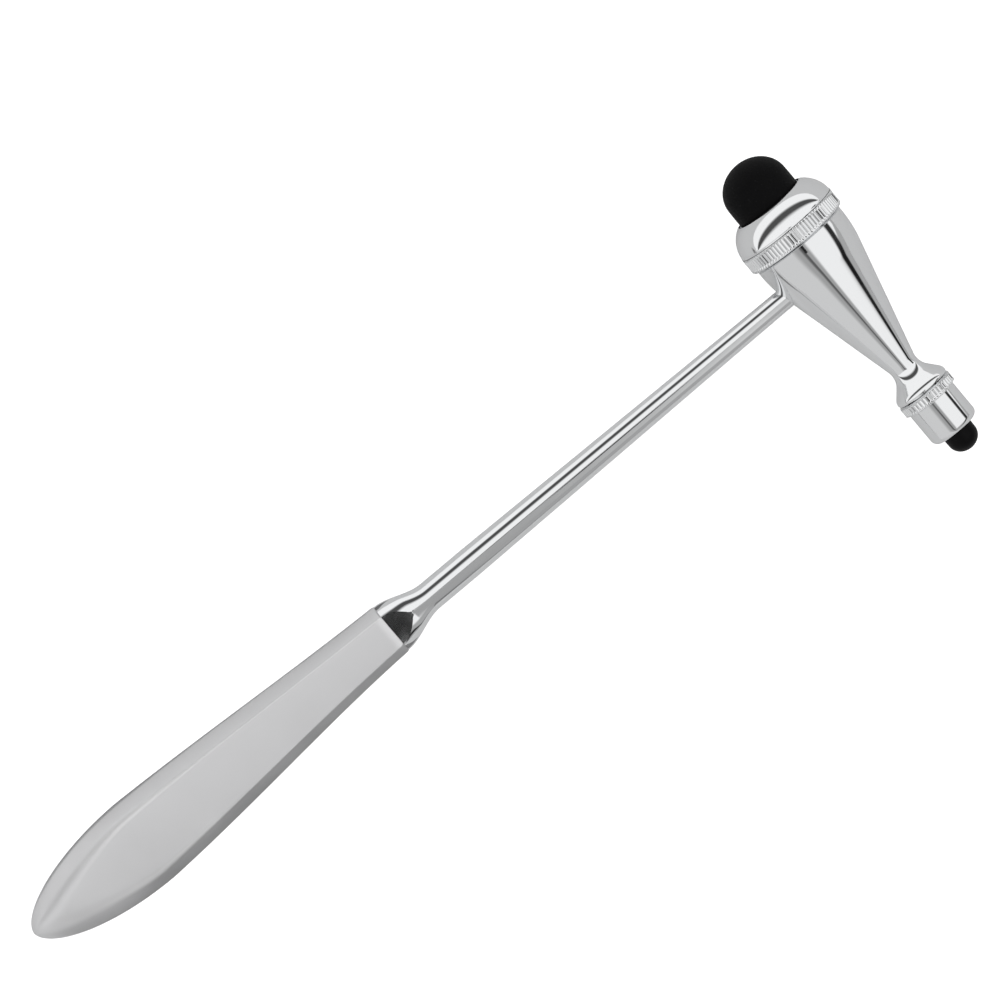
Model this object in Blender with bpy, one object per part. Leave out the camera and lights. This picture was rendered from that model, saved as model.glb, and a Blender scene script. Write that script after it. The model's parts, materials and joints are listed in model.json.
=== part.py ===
"""Reflex hammer: two rubber mallets in screw caps on a turned head, a tapered shaft and a flat handle.

Units are metres and +Z is up. Every piece is modelled about the hammer's own axes, and two empties lay
the finished hammer down on its two caps and its handle.
The shaft lies along the hammer's X, the head along its Y, and the handle's flat faces look along its Z.
The point where the shaft's axis crosses the head's axis is the hammer's own origin.
"""

import math
from dataclasses import dataclass

import bmesh
import bpy
from mathutils import Matrix, Vector

MM = 0.001

# Clearances
FACE_GAP = 0.3 * MM  # between two faces that bear on each other
THREAD_GAP = 0.15 * MM  # radial, between an outer thread and its inner thread
CREST_GAP = 0.05 * MM  # taken off the crests of an inner thread

# Threads, the same right-hand form at both ends of the head
PITCH = 1.0 * MM
THREAD_DEPTH = 0.54 * MM


@dataclass(frozen=True)
class End:
    """One end of the head. Heights are measured outwards from the shaft's axis."""

    name: str
    seat: float  # height of the head's shoulder
    setback: float  # of that shoulder inside the fluted band
    spigot: float  # length of the threaded spigot
    washer: float  # thickness of the backing washer
    washer_hole: float  # radius
    rubber_radius: float
    rubber_reach: float  # how far the mallet stands out of its cap
    dome: float  # height of the mallet's rounded end
    overhang: float  # of the mallet's foot beyond its side
    flange: float  # thickness of the mallet's foot
    lip: float  # thickness of the cap over that foot
    wall: float  # of the cap outside its thread
    grip: float  # height of the fluted band
    grip_stand: float  # how far the band stands out of the cap
    nose: float  # height of the cap's rounded shoulder
    rim: float  # flat left round the cap's mouth
    flutes: int
    facets: int  # round the mallet and the washer
    turn_steps: int  # facets in one turn of the thread

    @property
    def mouth_radius(self):
        return self.rubber_radius + FACE_GAP

    @property
    def foot_radius(self):
        return self.rubber_radius + self.overhang

    @property
    def bore_radius(self):
        return self.foot_radius + FACE_GAP

    @property
    def thread_radius(self):
        return self.bore_radius - CREST_GAP - THREAD_GAP + THREAD_DEPTH

    @property
    def barrel_radius(self):
        return self.thread_radius + THREAD_GAP + self.wall

    @property
    def grip_radius(self):
        return self.barrel_radius + self.grip_stand

    @property
    def nose_radius(self):
        return self.mouth_radius + self.rim

    @property
    def seat_radius(self):
        return self.grip_radius - self.setback

    @property
    def spigot_top(self):
        return self.seat + self.spigot

    @property
    def washer_base(self):
        return self.spigot_top + FACE_GAP

    @property
    def foot_base(self):
        return self.washer_base + self.washer + FACE_GAP

    @property
    def lip_base(self):
        return self.foot_base + self.flange + FACE_GAP

    @property
    def cap_base(self):
        return self.seat + FACE_GAP

    @property
    def cap_top(self):
        return self.lip_base + self.lip

    @property
    def apex(self):
        return self.cap_top + self.rubber_reach


LARGE = End(
    name="large",
    seat=8.4 * MM,
    setback=1.01 * MM,
    spigot=3.5 * MM,
    washer=0.8 * MM,
    washer_hole=3.0 * MM,
    rubber_radius=8.1 * MM,
    rubber_reach=11.3 * MM,
    dome=7.1 * MM,
    overhang=1.56 * MM,
    flange=2.4 * MM,
    lip=2.8 * MM,
    wall=2.17 * MM,
    grip=4.1 * MM,
    grip_stand=0.11 * MM,
    nose=5.7 * MM,
    rim=0.6 * MM,
    flutes=88,
    facets=44,
    turn_steps=32,
)
SMALL = End(
    name="small",
    seat=35.7 * MM,
    setback=0.15 * MM,
    spigot=4.9 * MM,
    washer=0.6 * MM,
    washer_hole=1.5 * MM,
    rubber_radius=3.72 * MM,
    rubber_reach=5.5 * MM,
    dome=3.3 * MM,
    overhang=0.84 * MM,
    flange=2.4 * MM,
    lip=3.2 * MM,
    wall=0.8 * MM,
    grip=2.7 * MM,
    grip_stand=0.8 * MM,
    nose=1.3 * MM,
    rim=1.18 * MM,
    flutes=48,
    facets=24,
    turn_steps=20,
)

# Fluted bands of both caps
RIM = 0.25 * MM  # bead above and below the flutes
LAND = 0.36 * MM  # left standing between two flutes
FLUTE_DEPTH = 0.25 * MM
LIP_ROUND = 0.3 * MM
NOSE_RISE = 0.5  # how far up, as a share of its height, the cap's shoulder starts to turn in
NOSE_LEAN = 0.08  # and how far it has come in by then, as a share of its width
NOSE_RUN = 0.45  # how far out from its end, as a share of its width, the shoulder flattens
NOSE_DROP = 0.16  # and how far down it is there, as a share of its height
SHOULDER_RINGS = 6
DOME_RINGS = 8

# Head, from the large seat through a long cone and a narrow neck to the small seat
SHOULDER_DROP = 4.95 * MM  # from the large seat to where the cylinder's and the cone's lines cross
SHOULDER_ROUND = 30.0 * MM
NECK_RADIUS = 3.07 * MM  # where the cone's and the flare's lines cross
NECK_ROUND = 4.5 * MM
FLARE_LENGTH = 4.4 * MM
FLARE_ROUND = 2.0 * MM
COLLAR_LENGTH = FLARE_ROUND / 2  # of the cylinder between the flare and the small seat
EDGE = 0.25 * MM  # chamfer on turned edges
HEAD_FACETS = 48

# Shaft, with its bolster at the handle
HEAD_TO_BUTT = 232.3 * MM
HANDLE_LENGTH = 106.1 * MM
BOLSTER_LENGTH = 11.0 * MM
SHAFT_RADIUS = 3.5 * MM
TIP_RADIUS = 2.48 * MM
PARALLEL_LENGTH = 12.0 * MM  # of the shaft beyond its bolster, before it tapers
TENON_STEP = 0.48 * MM  # in radius, from the shaft's tip to its tenon
TENON_LENGTH = 9.0 * MM
TENON_REACH = 3.0 * MM  # past the head's axis
TANG_RADIUS = 2.2 * MM
TANG_LENGTH = 28.0 * MM
BORE_RUN_OUT = 2.0 * MM  # how far the tang's bore is cut past the handle's front
SHAFT_FACETS = 32
BOLSTER_RINGS = 12
TENON_RADIUS = TIP_RADIUS - TENON_STEP

# Handle: the widest section lies near its butt
WIDEST = 33.0 * MM  # from the butt
HALF_WIDTH = 10.7 * MM
FRONT_HALF_WIDTH = 6.36 * MM
HALF_THICKNESS = 5.4 * MM
FRONT_HALF_THICKNESS = 4.2 * MM
FACE_HALF_WIDTH = 7.3 * MM  # of the flat face, at the widest section
FRONT_FACE_HALF_WIDTH = 4.05 * MM
EDGE_HALF_THICKNESS = 1.0 * MM  # of the narrow side between two bevels
BUTT_ROUND = 13.0 * MM  # length over which the butt thins to its tip
BUTT_FACE_SHARE = 0.35  # of the butt's width that its face takes
BUTT_POWER = 0.56  # how full the leaf is between its tip and its widest section
BUTT_CUT = 0.02 * MM  # taken off the leaf's tip, to leave a face there
WAIST_EASE = 0.5  # how much of the leaf's narrowing to its front is S-shaped
WAIST_POWER = 0.9  # of the rest of that narrowing
LEAN = 1.0 * MM  # how far the butt's middle stands off the shaft's line, towards the small mallet
LEAN_POWER = 1.3
HANDLE_RINGS = 30

SETTLE_ROUNDS = 20  # of the search for the three points that the hammer lies on

FRONT = HANDLE_LENGTH - HEAD_TO_BUTT  # the handle's front end, along the shaft
BUTT = -HEAD_TO_BUTT


def clear_scene():
    for leftover in list(bpy.data.objects):
        bpy.data.objects.remove(leftover, do_unlink=True)


def add_material(name, colour, roughness, metallic):
    made = bpy.data.materials.new(name)
    made.use_nodes = True
    shader = made.node_tree.nodes["Principled BSDF"]
    shader.inputs["Base Color"].default_value = (*colour, 1.0)
    shader.inputs["Roughness"].default_value = roughness
    shader.inputs["Metallic"].default_value = metallic
    return made


def add_empty(name, rotation, parent=None):
    axis = bpy.data.objects.new(name, None)
    axis.empty_display_size = 0.01
    axis.rotation_euler = rotation
    axis.parent = parent
    bpy.context.collection.objects.link(axis)
    return axis


def add_object(name, bm, material, parent, sharp=35.0):
    """Turns a bmesh into an object under parent, facing outwards, smooth except over its sharp edges."""
    bmesh.ops.recalc_face_normals(bm, faces=bm.faces)
    if bm.calc_volume(signed=True) < 0:
        bmesh.ops.reverse_faces(bm, faces=bm.faces)
    mesh = bpy.data.meshes.new(name)
    bm.to_mesh(mesh)
    bm.free()
    mesh.shade_smooth()
    mesh.set_sharp_from_angle(angle=math.radians(sharp))
    made = bpy.data.objects.new(name, mesh)
    if material:
        mesh.materials.append(material)
    made.parent = parent
    bpy.context.collection.objects.link(made)
    return made


def combine(target, helper, operation):
    """Joins helper to target, or cuts it out, and keeps helper as a hidden guide."""
    step = target.modifiers.new(operation.lower() + "_" + helper.name, "BOOLEAN")
    step.operation = operation
    step.object = helper
    helper.hide_render = True
    helper.display_type = "WIRE"


def bezier(start, start_handle, end_handle, end, steps):
    """Points after start on a cubic curve, up to and with end."""
    ends = [Vector(p) for p in (start, start_handle, end_handle, end)]
    points = []
    for step in range(1, steps + 1):
        t = step / steps
        weights = ((1 - t) ** 3, 3 * t * (1 - t) ** 2, 3 * t * t * (1 - t), t**3)
        points.append(tuple(sum((w * p for w, p in zip(weights, ends)), Vector((0, 0)))))
    return points


def rounded(before, corner, after, radius, steps):
    """The arc of this radius that rounds a corner, as points from the first tangent to the last."""
    corner = Vector(corner)
    towards = (Vector(before) - corner).normalized()
    away = (Vector(after) - corner).normalized()
    half = towards.angle(away) / 2
    centre = corner + (towards + away).normalized() * radius / math.sin(half)
    first = corner + towards * radius / math.tan(half) - centre
    turn = (math.pi - 2 * half) * (1 if first.cross(away) > 0 else -1)
    arc = []
    for step in range(steps + 1):
        arc.append(tuple(centre + Matrix.Rotation(turn * step / steps, 2) @ first))
    return arc


def turned(outline, facets):
    """Spins a closed outline of (radius, height) points round Z. Points at radius 0 become poles."""
    bm = bmesh.new()
    ring = [bm.verts.new((radius, 0.0, height)) for radius, height in outline]
    rim = []
    for here, following in zip(ring, ring[1:] + ring[:1]):
        if here.co.x > 0 or following.co.x > 0:
            rim.append(bm.edges.new((here, following)))
    bmesh.ops.spin(
        bm, geom=ring + rim, cent=(0, 0, 0), axis=(0, 0, 1), angle=math.tau, steps=facets, use_merge=True
    )
    bmesh.ops.remove_doubles(bm, verts=bm.verts, dist=1e-6)
    bmesh.ops.dissolve_degenerate(bm, edges=bm.edges, dist=1e-7)
    return bm


def rod(radius, start, end, facets):
    return turned([(0, start), (radius, start), (radius, end), (0, end)], facets)


def threaded_rod(crest_radius, start, end, facets):
    """A right-hand screw of PITCH, cut square at both heights. Every screw is in step with height 0."""
    root_radius = crest_radius - THREAD_DEPTH
    below = (math.floor(start / PITCH) - 1) * PITCH
    turns = math.ceil((end - below) / PITCH) + 1
    bm = bmesh.new()
    form = []
    for radius, sixteenths in (
        (root_radius, 0),
        (root_radius, 4),
        (crest_radius, 9),
        (crest_radius, 11),
        (root_radius, 16),
    ):
        form.append(bm.verts.new((radius, 0.0, below + PITCH * sixteenths / 16)))
    edges = [bm.edges.new(pair) for pair in zip(form, form[1:])]
    bmesh.ops.spin(
        bm,
        geom=form + edges,
        cent=(0, 0, 0),
        axis=(0, 0, 1),
        dvec=(0, 0, PITCH / facets),
        angle=math.tau * turns,
        steps=facets * turns,
    )
    bmesh.ops.remove_doubles(bm, verts=bm.verts, dist=1e-6)
    for height, side in ((start, -1), (end, 1)):
        everything = bm.verts[:] + bm.edges[:] + bm.faces[:]
        bmesh.ops.bisect_plane(
            bm, geom=everything, dist=1e-7, plane_co=(0, 0, height), plane_no=(0, 0, side), clear_outer=True
        )
        rim = []
        for edge in bm.edges:
            if edge.is_boundary and max(abs(corner.co.z - height) for corner in edge.verts) < 1e-6:
                rim.append(edge)
        bmesh.ops.edgeloop_fill(bm, edges=rim)
    return bm


def make_cap(end, axis, chrome):
    """Screw cap: fluted band below, rounded shoulder above, lip that holds the mallet's foot."""
    band_top = end.cap_base + end.grip
    shoulder = end.cap_top - end.nose
    outline = [
        (end.bore_radius + EDGE, end.cap_base),
        (end.grip_radius - EDGE, end.cap_base),
        (end.grip_radius, end.cap_base + RIM),
        (end.grip_radius, band_top - RIM),
        (end.grip_radius - EDGE / 2, band_top),
    ]
    if shoulder > band_top:
        outline.append((end.barrel_radius, band_top + EDGE))
    outline.append((end.barrel_radius, max(shoulder, band_top + EDGE)))
    foot = outline[-1]
    width = end.barrel_radius - end.nose_radius
    outline += bezier(
        foot,
        (foot[0] - width * NOSE_LEAN, foot[1] + end.nose * NOSE_RISE),
        (end.nose_radius + width * NOSE_RUN, end.cap_top - end.nose * NOSE_DROP),
        (end.nose_radius, end.cap_top),
        SHOULDER_RINGS,
    )
    outline += [
        (end.mouth_radius + LIP_ROUND, end.cap_top),
        (end.mouth_radius, end.cap_top - LIP_ROUND),
        (end.mouth_radius, end.lip_base),
        (end.bore_radius, end.lip_base),
        (end.bore_radius, end.cap_base + EDGE),
    ]
    bm = turned(outline, end.flutes)
    band = []
    for face in bm.faces:
        lowest = min(corner.co.z for corner in face.verts)
        highest = max(corner.co.z for corner in face.verts)
        outside = min(corner.co.xy.length for corner in face.verts) > end.grip_radius - EDGE / 4
        if outside and lowest > end.cap_base and highest < band_top:
            band.append(face)
    bmesh.ops.inset_individual(bm, faces=band, thickness=LAND / 2, depth=-FLUTE_DEPTH)
    cap = add_object(end.name + "_cap", bm, chrome, axis)
    thread_start = end.cap_base - PITCH
    thread_end = end.spigot_top + FACE_GAP
    thread = threaded_rod(end.thread_radius + THREAD_GAP, thread_start, thread_end, end.turn_steps)
    combine(cap, add_object(end.name + "_cap_thread", thread, None, axis), "DIFFERENCE")
    return cap


def make_mallet(end, axis, rubber):
    """Rubber mallet: a wide foot under the cap's lip, a straight side and a domed end."""
    side_top = end.apex - end.dome
    foot_top = end.foot_base + end.flange
    outline = [(0, end.foot_base), (end.foot_radius, end.foot_base), (end.foot_radius, foot_top)]
    outline += [(end.rubber_radius, foot_top), (end.rubber_radius, side_top)]
    for step in range(1, DOME_RINGS):
        angle = math.pi / 2 * step / DOME_RINGS
        outline.append((end.rubber_radius * math.cos(angle), side_top + end.dome * math.sin(angle)))
    outline.append((0, end.apex))
    return add_object(end.name + "_mallet", turned(outline, end.facets), rubber, axis)


def make_washer(end, axis, brass):
    """Backing washer: it spreads the cap's grip over the mallet's foot."""
    base = end.washer_base
    top = base + end.washer
    rim = end.foot_radius
    outline = [(end.washer_hole, base), (rim, base), (rim, top), (end.washer_hole, top)]
    return add_object(end.name + "_washer", turned(outline, end.facets), brass, axis)


def make_head(head_axis, small_axis, shaft_axis, chrome):
    """Turned head: shoulder, long cone, neck and flare, with two threaded spigots and the shaft's bore."""
    top = (LARGE.seat_radius, LARGE.seat)
    shoulder = (LARGE.seat_radius, LARGE.seat - SHOULDER_DROP)
    flare = (SMALL.seat_radius, COLLAR_LENGTH - SMALL.seat)
    neck = (NECK_RADIUS, flare[1] + FLARE_LENGTH)
    bottom = (SMALL.seat_radius, -SMALL.seat)
    outline = [(0, LARGE.seat), (LARGE.seat_radius - EDGE, LARGE.seat)]
    outline.append((LARGE.seat_radius, LARGE.seat - EDGE))
    outline += rounded(top, shoulder, neck, SHOULDER_ROUND, 6)
    outline += rounded(shoulder, neck, flare, NECK_ROUND, 7)
    outline += rounded(neck, flare, bottom, FLARE_ROUND, 4)
    outline += [(SMALL.seat_radius - EDGE / 2, -SMALL.seat), (0, -SMALL.seat)]
    head = add_object("head_body", turned(outline, HEAD_FACETS), chrome, head_axis)
    for end, axis in ((LARGE, head_axis), (SMALL, small_axis)):
        thread = threaded_rod(end.thread_radius, end.seat - PITCH, end.spigot_top, end.turn_steps)
        combine(head, add_object(end.name + "_spigot", thread, None, axis), "UNION")
    bore = [
        (0, -LARGE.seat_radius * 2),
        (TIP_RADIUS + FACE_GAP, -LARGE.seat_radius * 2),
        (TIP_RADIUS + FACE_GAP, TENON_REACH - TENON_LENGTH),
        (TENON_RADIUS + FACE_GAP, TENON_REACH - TENON_LENGTH),
        (TENON_RADIUS + FACE_GAP, TENON_REACH + FACE_GAP),
        (0, TENON_REACH + FACE_GAP),
    ]
    combine(head, add_object("shaft_bore", turned(bore, SHAFT_FACETS), None, shaft_axis), "DIFFERENCE")
    return head


def octagon(half_width, half_thickness, face_half_width, edge_half_thickness):
    """The handle's section as eight (width, thickness) corners, anticlockwise from the right-hand edge."""
    upper = [(half_width, edge_half_thickness), (face_half_width, half_thickness)]
    upper += [(-face_half_width, half_thickness), (-half_width, edge_half_thickness)]
    return upper + [(-width, -thickness) for width, thickness in upper]


def along_polygon(corners, share):
    """The point at this share of a closed polygon's way round, each side given the same share."""
    place = share * len(corners) % len(corners)
    side = int(place)
    here = Vector(corners[side])
    return here.lerp(Vector(corners[(side + 1) % len(corners)]), place - side)


def loft(rings):
    """Grows one skin through closed rings of 3-D points that all run the same way, with flat ends."""
    bm = bmesh.new()
    corners = [bm.verts.new(point) for point in rings[0]]
    bm.faces.new(corners)
    for ring in rings[1:]:
        edges = [bm.edges.get(pair) for pair in zip(corners, corners[1:] + corners[:1])]
        grown = bmesh.ops.extrude_edge_only(bm, edges=edges)["geom"]
        fresh = {item for item in grown if isinstance(item, bmesh.types.BMVert)}
        following = []
        for corner, point in zip(corners, ring):
            neighbours = {edge.other_vert(corner) for edge in corner.link_edges}
            twin = (neighbours & fresh).pop()
            twin.co = point
            following.append(twin)
        corners = following
    bm.faces.new(corners)
    return bm


def eased(share):
    """A smooth step from 0 to 1."""
    return share * share * (3 - 2 * share)


def handle_section(station):
    """Half sizes of the handle at a distance from its butt: width, thickness, flat face, side."""
    nose = math.sqrt(1 - (1 - min(station / BUTT_ROUND, 1)) ** 2)
    along = max(0.0, (station - WIDEST) / (HANDLE_LENGTH - WIDEST))
    thickness = (HALF_THICKNESS + (FRONT_HALF_THICKNESS - HALF_THICKNESS) * along) * nose
    width = leaf(station, HALF_WIDTH, FRONT_HALF_WIDTH)
    if station > WIDEST:
        face = leaf(station, FACE_HALF_WIDTH, FRONT_FACE_HALF_WIDTH)
    else:
        broad = FACE_HALF_WIDTH / HALF_WIDTH
        face = width * (BUTT_FACE_SHARE + (broad - BUTT_FACE_SHARE) * eased(station / WIDEST))
    return width, thickness, face, EDGE_HALF_THICKNESS * nose


def leaf(station, widest, front):
    """Half width of a leaf: round at the butt, widest at WIDEST, narrowing to the handle's front."""
    if station <= WIDEST:
        return widest * (1 - (1 - station / WIDEST) ** 2) ** BUTT_POWER
    along = (station - WIDEST) / (HANDLE_LENGTH - WIDEST)
    waist = WAIST_EASE * eased(along) + (1 - WAIST_EASE) * along**WAIST_POWER
    return widest + (front - widest) * waist


def lean(station):
    """How far the handle's middle stands off the shaft's line, at a distance from the butt."""
    return -LEAN * (1 - eased((station / HANDLE_LENGTH) ** LEAN_POWER))


def make_handle(frame, shaft_axis, satin):
    """Flat leaf-shaped handle, bevelled along both faces, with a blind bore for the shaft's tang."""
    rings = []
    for step in range(HANDLE_RINGS + 1):
        share = step / HANDLE_RINGS
        station = HANDLE_LENGTH * (1 - math.cos(share * math.pi / 2)) if share < 1 else HANDLE_LENGTH
        station = max(station, BUTT_CUT)
        corners = octagon(*handle_section(station))
        rings.append([(BUTT + station, lean(station) + width, thickness) for width, thickness in corners])
    handle = add_object("handle", loft(rings), satin, frame, sharp=20.0)
    bore = rod(TANG_RADIUS + FACE_GAP, FRONT - TANG_LENGTH - FACE_GAP, FRONT + BORE_RUN_OUT, SHAFT_FACETS)
    combine(handle, add_object("tang_bore", bore, None, shaft_axis), "DIFFERENCE")
    return handle


def shaft_ring(share, radius, height):
    """A ring of the shaft: the handle's octagon at share 0, a circle at share 1."""
    corners = octagon(*handle_section(HANDLE_LENGTH))
    ring = []
    for step in range(SHAFT_FACETS):
        turn = step / SHAFT_FACETS
        angle = math.tau * turn + math.pi / len(corners)
        circle = Vector((math.cos(angle), math.sin(angle))) * radius
        point = along_polygon(corners, turn).lerp(circle, share)
        ring.append((-point.y, point.x, height))
    return ring


def make_shaft(shaft_axis, chrome):
    """Polished shaft: tang, bolster, a short parallel length, a long taper and a tenon for the head."""
    start = FRONT + FACE_GAP
    parallel_end = FRONT + BOLSTER_LENGTH + PARALLEL_LENGTH
    tenon_start = TENON_REACH - TENON_LENGTH - FACE_GAP
    tang = [(TANG_RADIUS - EDGE, FRONT - TANG_LENGTH), (TANG_RADIUS, FRONT - TANG_LENGTH + EDGE)]
    tang.append((TANG_RADIUS, start))
    rings = [shaft_ring(1, radius, height) for radius, height in tang]
    for step in range(BOLSTER_RINGS + 1):
        share = step / BOLSTER_RINGS
        rings.append(shaft_ring(eased(share), SHAFT_RADIUS, start + BOLSTER_LENGTH * share))
    rod_sizes = [(SHAFT_RADIUS, parallel_end), (TIP_RADIUS, -LARGE.seat_radius), (TIP_RADIUS, tenon_start)]
    rod_sizes += [(TENON_RADIUS, tenon_start), (TENON_RADIUS, TENON_REACH - EDGE)]
    rod_sizes.append((TENON_RADIUS - EDGE, TENON_REACH))
    rings += [shaft_ring(1, radius, height) for radius, height in rod_sizes]
    return add_object("shaft", loft(rings), chrome, shaft_axis)


def corners_of(made, frame):
    """The finished piece's corners, in frame's own axes."""
    evaluated = made.evaluated_get(bpy.context.evaluated_depsgraph_get())
    mesh = evaluated.to_mesh()
    to_frame = frame.matrix_world.inverted() @ evaluated.matrix_world
    corners = [to_frame @ corner.co for corner in mesh.vertices]
    evaluated.to_mesh_clear()
    return corners


def lay_down(frame, pieces, feet):
    """Turns and lifts frame so that the three feet touch the ground, which is centred under the hammer."""
    bpy.context.view_layer.update()
    standing = [corners_of(foot, frame) for foot in feet]
    up = Vector((0, 0, 1))
    for _ in range(SETTLE_ROUNDS):
        touching = [min(corners, key=up.dot) for corners in standing]
        normal = (touching[1] - touching[0]).cross(touching[2] - touching[0]).normalized()
        up = normal if normal.z > 0 else -normal
    forward = (Vector((1, 0, 0)) - up * up.x).normalized()
    turn = Matrix((forward, up.cross(forward), up))
    placed = [turn @ corner for piece in pieces for corner in corners_of(piece, frame)]
    low = Vector([min(corner[i] for corner in placed) for i in range(3)])
    high = Vector([max(corner[i] for corner in placed) for i in range(3)])
    frame.rotation_euler = turn.to_euler()
    frame.location = (-(low.x + high.x) / 2, -(low.y + high.y) / 2, -low.z)


def build():
    clear_scene()
    chrome = add_material("polished_chrome", (0.78, 0.78, 0.79), 0.08, 1.0)
    satin = add_material("satin_steel", (0.66, 0.66, 0.67), 0.38, 1.0)
    rubber = add_material("black_rubber", (0.018, 0.018, 0.019), 0.75, 0.0)
    brass = add_material("plain_brass", (0.72, 0.53, 0.25), 0.35, 1.0)
    frame = add_empty("hammer", (0, 0, 0))
    head_axis = add_empty("large_end_axis", (-math.pi / 2, 0, 0), frame)
    small_axis = add_empty("small_end_axis", (math.pi / 2, 0, 0), frame)
    shaft_axis = add_empty("shaft_axis", (0, math.pi / 2, 0), frame)
    pieces = [
        make_handle(frame, shaft_axis, satin),
        make_shaft(shaft_axis, chrome),
        make_head(head_axis, small_axis, shaft_axis, chrome),
    ]
    caps = []
    for end, axis in ((LARGE, head_axis), (SMALL, small_axis)):
        caps.append(make_cap(end, axis, chrome))
        pieces += [make_washer(end, axis, brass), make_mallet(end, axis, rubber)]
    lay_down(frame, pieces + caps, [caps[0], caps[1], pieces[0]])


build()
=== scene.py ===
"""Looks of a reflex hammer lying on a table: turned chromed head, two rubber mallets, satin handle."""

import json
import math

import bmesh
import bpy
from mathutils import Matrix, Vector


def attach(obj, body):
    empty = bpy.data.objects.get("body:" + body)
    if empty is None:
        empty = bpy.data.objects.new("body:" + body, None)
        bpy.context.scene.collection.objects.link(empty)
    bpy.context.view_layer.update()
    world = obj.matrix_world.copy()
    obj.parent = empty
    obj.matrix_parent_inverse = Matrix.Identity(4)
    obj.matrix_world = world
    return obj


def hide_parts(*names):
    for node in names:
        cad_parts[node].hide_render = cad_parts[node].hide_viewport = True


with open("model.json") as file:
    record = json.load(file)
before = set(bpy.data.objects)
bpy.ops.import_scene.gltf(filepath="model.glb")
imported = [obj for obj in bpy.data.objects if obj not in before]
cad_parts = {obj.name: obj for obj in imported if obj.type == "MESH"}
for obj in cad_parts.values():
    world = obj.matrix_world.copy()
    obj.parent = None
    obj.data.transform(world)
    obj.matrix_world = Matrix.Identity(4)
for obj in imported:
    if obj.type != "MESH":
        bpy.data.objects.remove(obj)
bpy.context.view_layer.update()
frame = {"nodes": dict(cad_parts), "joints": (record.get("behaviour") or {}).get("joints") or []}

# ---- The hammer's own axes -------------------------------------------------------------------------
# The large cap turns on the head's axis, and its joint stands where that axis crosses the shaft's.
# Seen from above, the shaft runs along the frame's X, and it is square to the head.
MM = 0.001
cap_joint = next(joint for joint in frame["joints"] if joint["name"] == "large_cap_screw")
crossing = Vector(cap_joint["pos_m"])
head_axis = Vector(cap_joint["axis"]).normalized()
shaft_axis = Vector((0, 1, 0)).cross(head_axis).normalized()
face_axis = shaft_axis.cross(head_axis)
hammer = Matrix((shaft_axis, head_axis, face_axis)).transposed().to_4x4()
hammer.translation = crossing
# Turned pieces are made round Z and then laid along the head, outwards from the shaft.
large_end = hammer @ Matrix.Rotation(-math.pi / 2, 4, "X")
small_end = hammer @ Matrix.Rotation(math.pi / 2, 4, "X")


# ---- Camera, table and light -----------------------------------------------------------------------
# A long lens looks straight down on the hammer, whose shaft runs up to the right.
CAMERA_HEIGHT = 1.6
FIELD = 224.57 * MM  # width of the view at the hammer
SHAFT_TURN = math.radians(39.98)  # of the shaft in the view
AIM = Vector((-72.26 * MM, -52.19 * MM))  # middle of the view from the axes' crossing, right and up

right = Vector((math.cos(SHAFT_TURN), -math.sin(SHAFT_TURN), 0))
up = Vector((math.sin(SHAFT_TURN), math.cos(SHAFT_TURN), 0))
lens = bpy.data.cameras.new("camera")
lens.sensor_width = 36.0
lens.lens = lens.sensor_width * (CAMERA_HEIGHT - crossing.z) / FIELD
lens.clip_start = 0.01
camera = bpy.data.objects.new("camera", lens)
bpy.context.scene.collection.objects.link(camera)
camera.location = Vector((crossing.x, crossing.y, CAMERA_HEIGHT)) + right * AIM.x + up * AIM.y
camera.rotation_euler = (0, 0, -SHAFT_TURN)
bpy.context.scene.camera = camera
bpy.context.scene.view_settings.view_transform = "Standard"


def add_node(tree, kind, inputs=None, **settings):
    """Adds a node, with its settings and its inputs as numbers or as links from other nodes' outputs."""
    made = tree.nodes.new(kind)
    for name, value in settings.items():
        setattr(made, name, value)
    for key, value in (inputs or {}).items():
        if isinstance(value, bpy.types.NodeSocket):
            tree.links.new(value, made.inputs[key])
        else:
            made.inputs[key].default_value = value
    return made


def link_mesh(name, bm, material=None):
    """Turns a finished bmesh into an object at the origin."""
    mesh = bpy.data.meshes.new(name)
    bm.to_mesh(mesh)
    bm.free()
    made = bpy.data.objects.new(name, mesh)
    if material:
        mesh.materials.append(material)
    bpy.context.scene.collection.objects.link(made)
    return made


# White laminate table: it looks a little brighter than it lights the metal.
table_top = bpy.data.materials.new("white_laminate")
table_top.use_nodes = True
tree = table_top.node_tree
tree.nodes.clear()
TABLE_GLOW = 0.8
seen = add_node(tree, "ShaderNodeLightPath").outputs["Is Camera Ray"]
glow = add_node(tree, "ShaderNodeMath", {0: seen, 1: TABLE_GLOW}, operation="MULTIPLY")
matt = add_node(tree, "ShaderNodeBsdfDiffuse", {"Color": (0.86, 0.86, 0.86, 1)})
lift = add_node(tree, "ShaderNodeEmission", {"Color": (1, 1, 1, 1), "Strength": glow.outputs[0]})
both = add_node(tree, "ShaderNodeAddShader", {0: matt.outputs[0], 1: lift.outputs[0]})
add_node(tree, "ShaderNodeOutputMaterial", {"Surface": both.outputs[0]})
bm = bmesh.new()
bmesh.ops.create_grid(bm, x_segments=1, y_segments=1, size=3.0)
table = link_mesh("table", bm, table_top)

# A light tent round the table. Above and beyond the hammer hangs a large soft box with a dark frame bar
# across it. Grey cloth with a fold hangs on the handle's side, and white cloth with a dark seam beyond
# the head.
world = bpy.data.worlds.new("light_tent")
bpy.context.scene.world = world
world.use_nodes = True
tree = world.node_tree
tree.nodes.clear()


def dot(tree, vector, by):
    both = {0: vector, 1: by}
    return add_node(tree, "ShaderNodeVectorMath", both, operation="DOT_PRODUCT").outputs["Value"]


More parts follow.
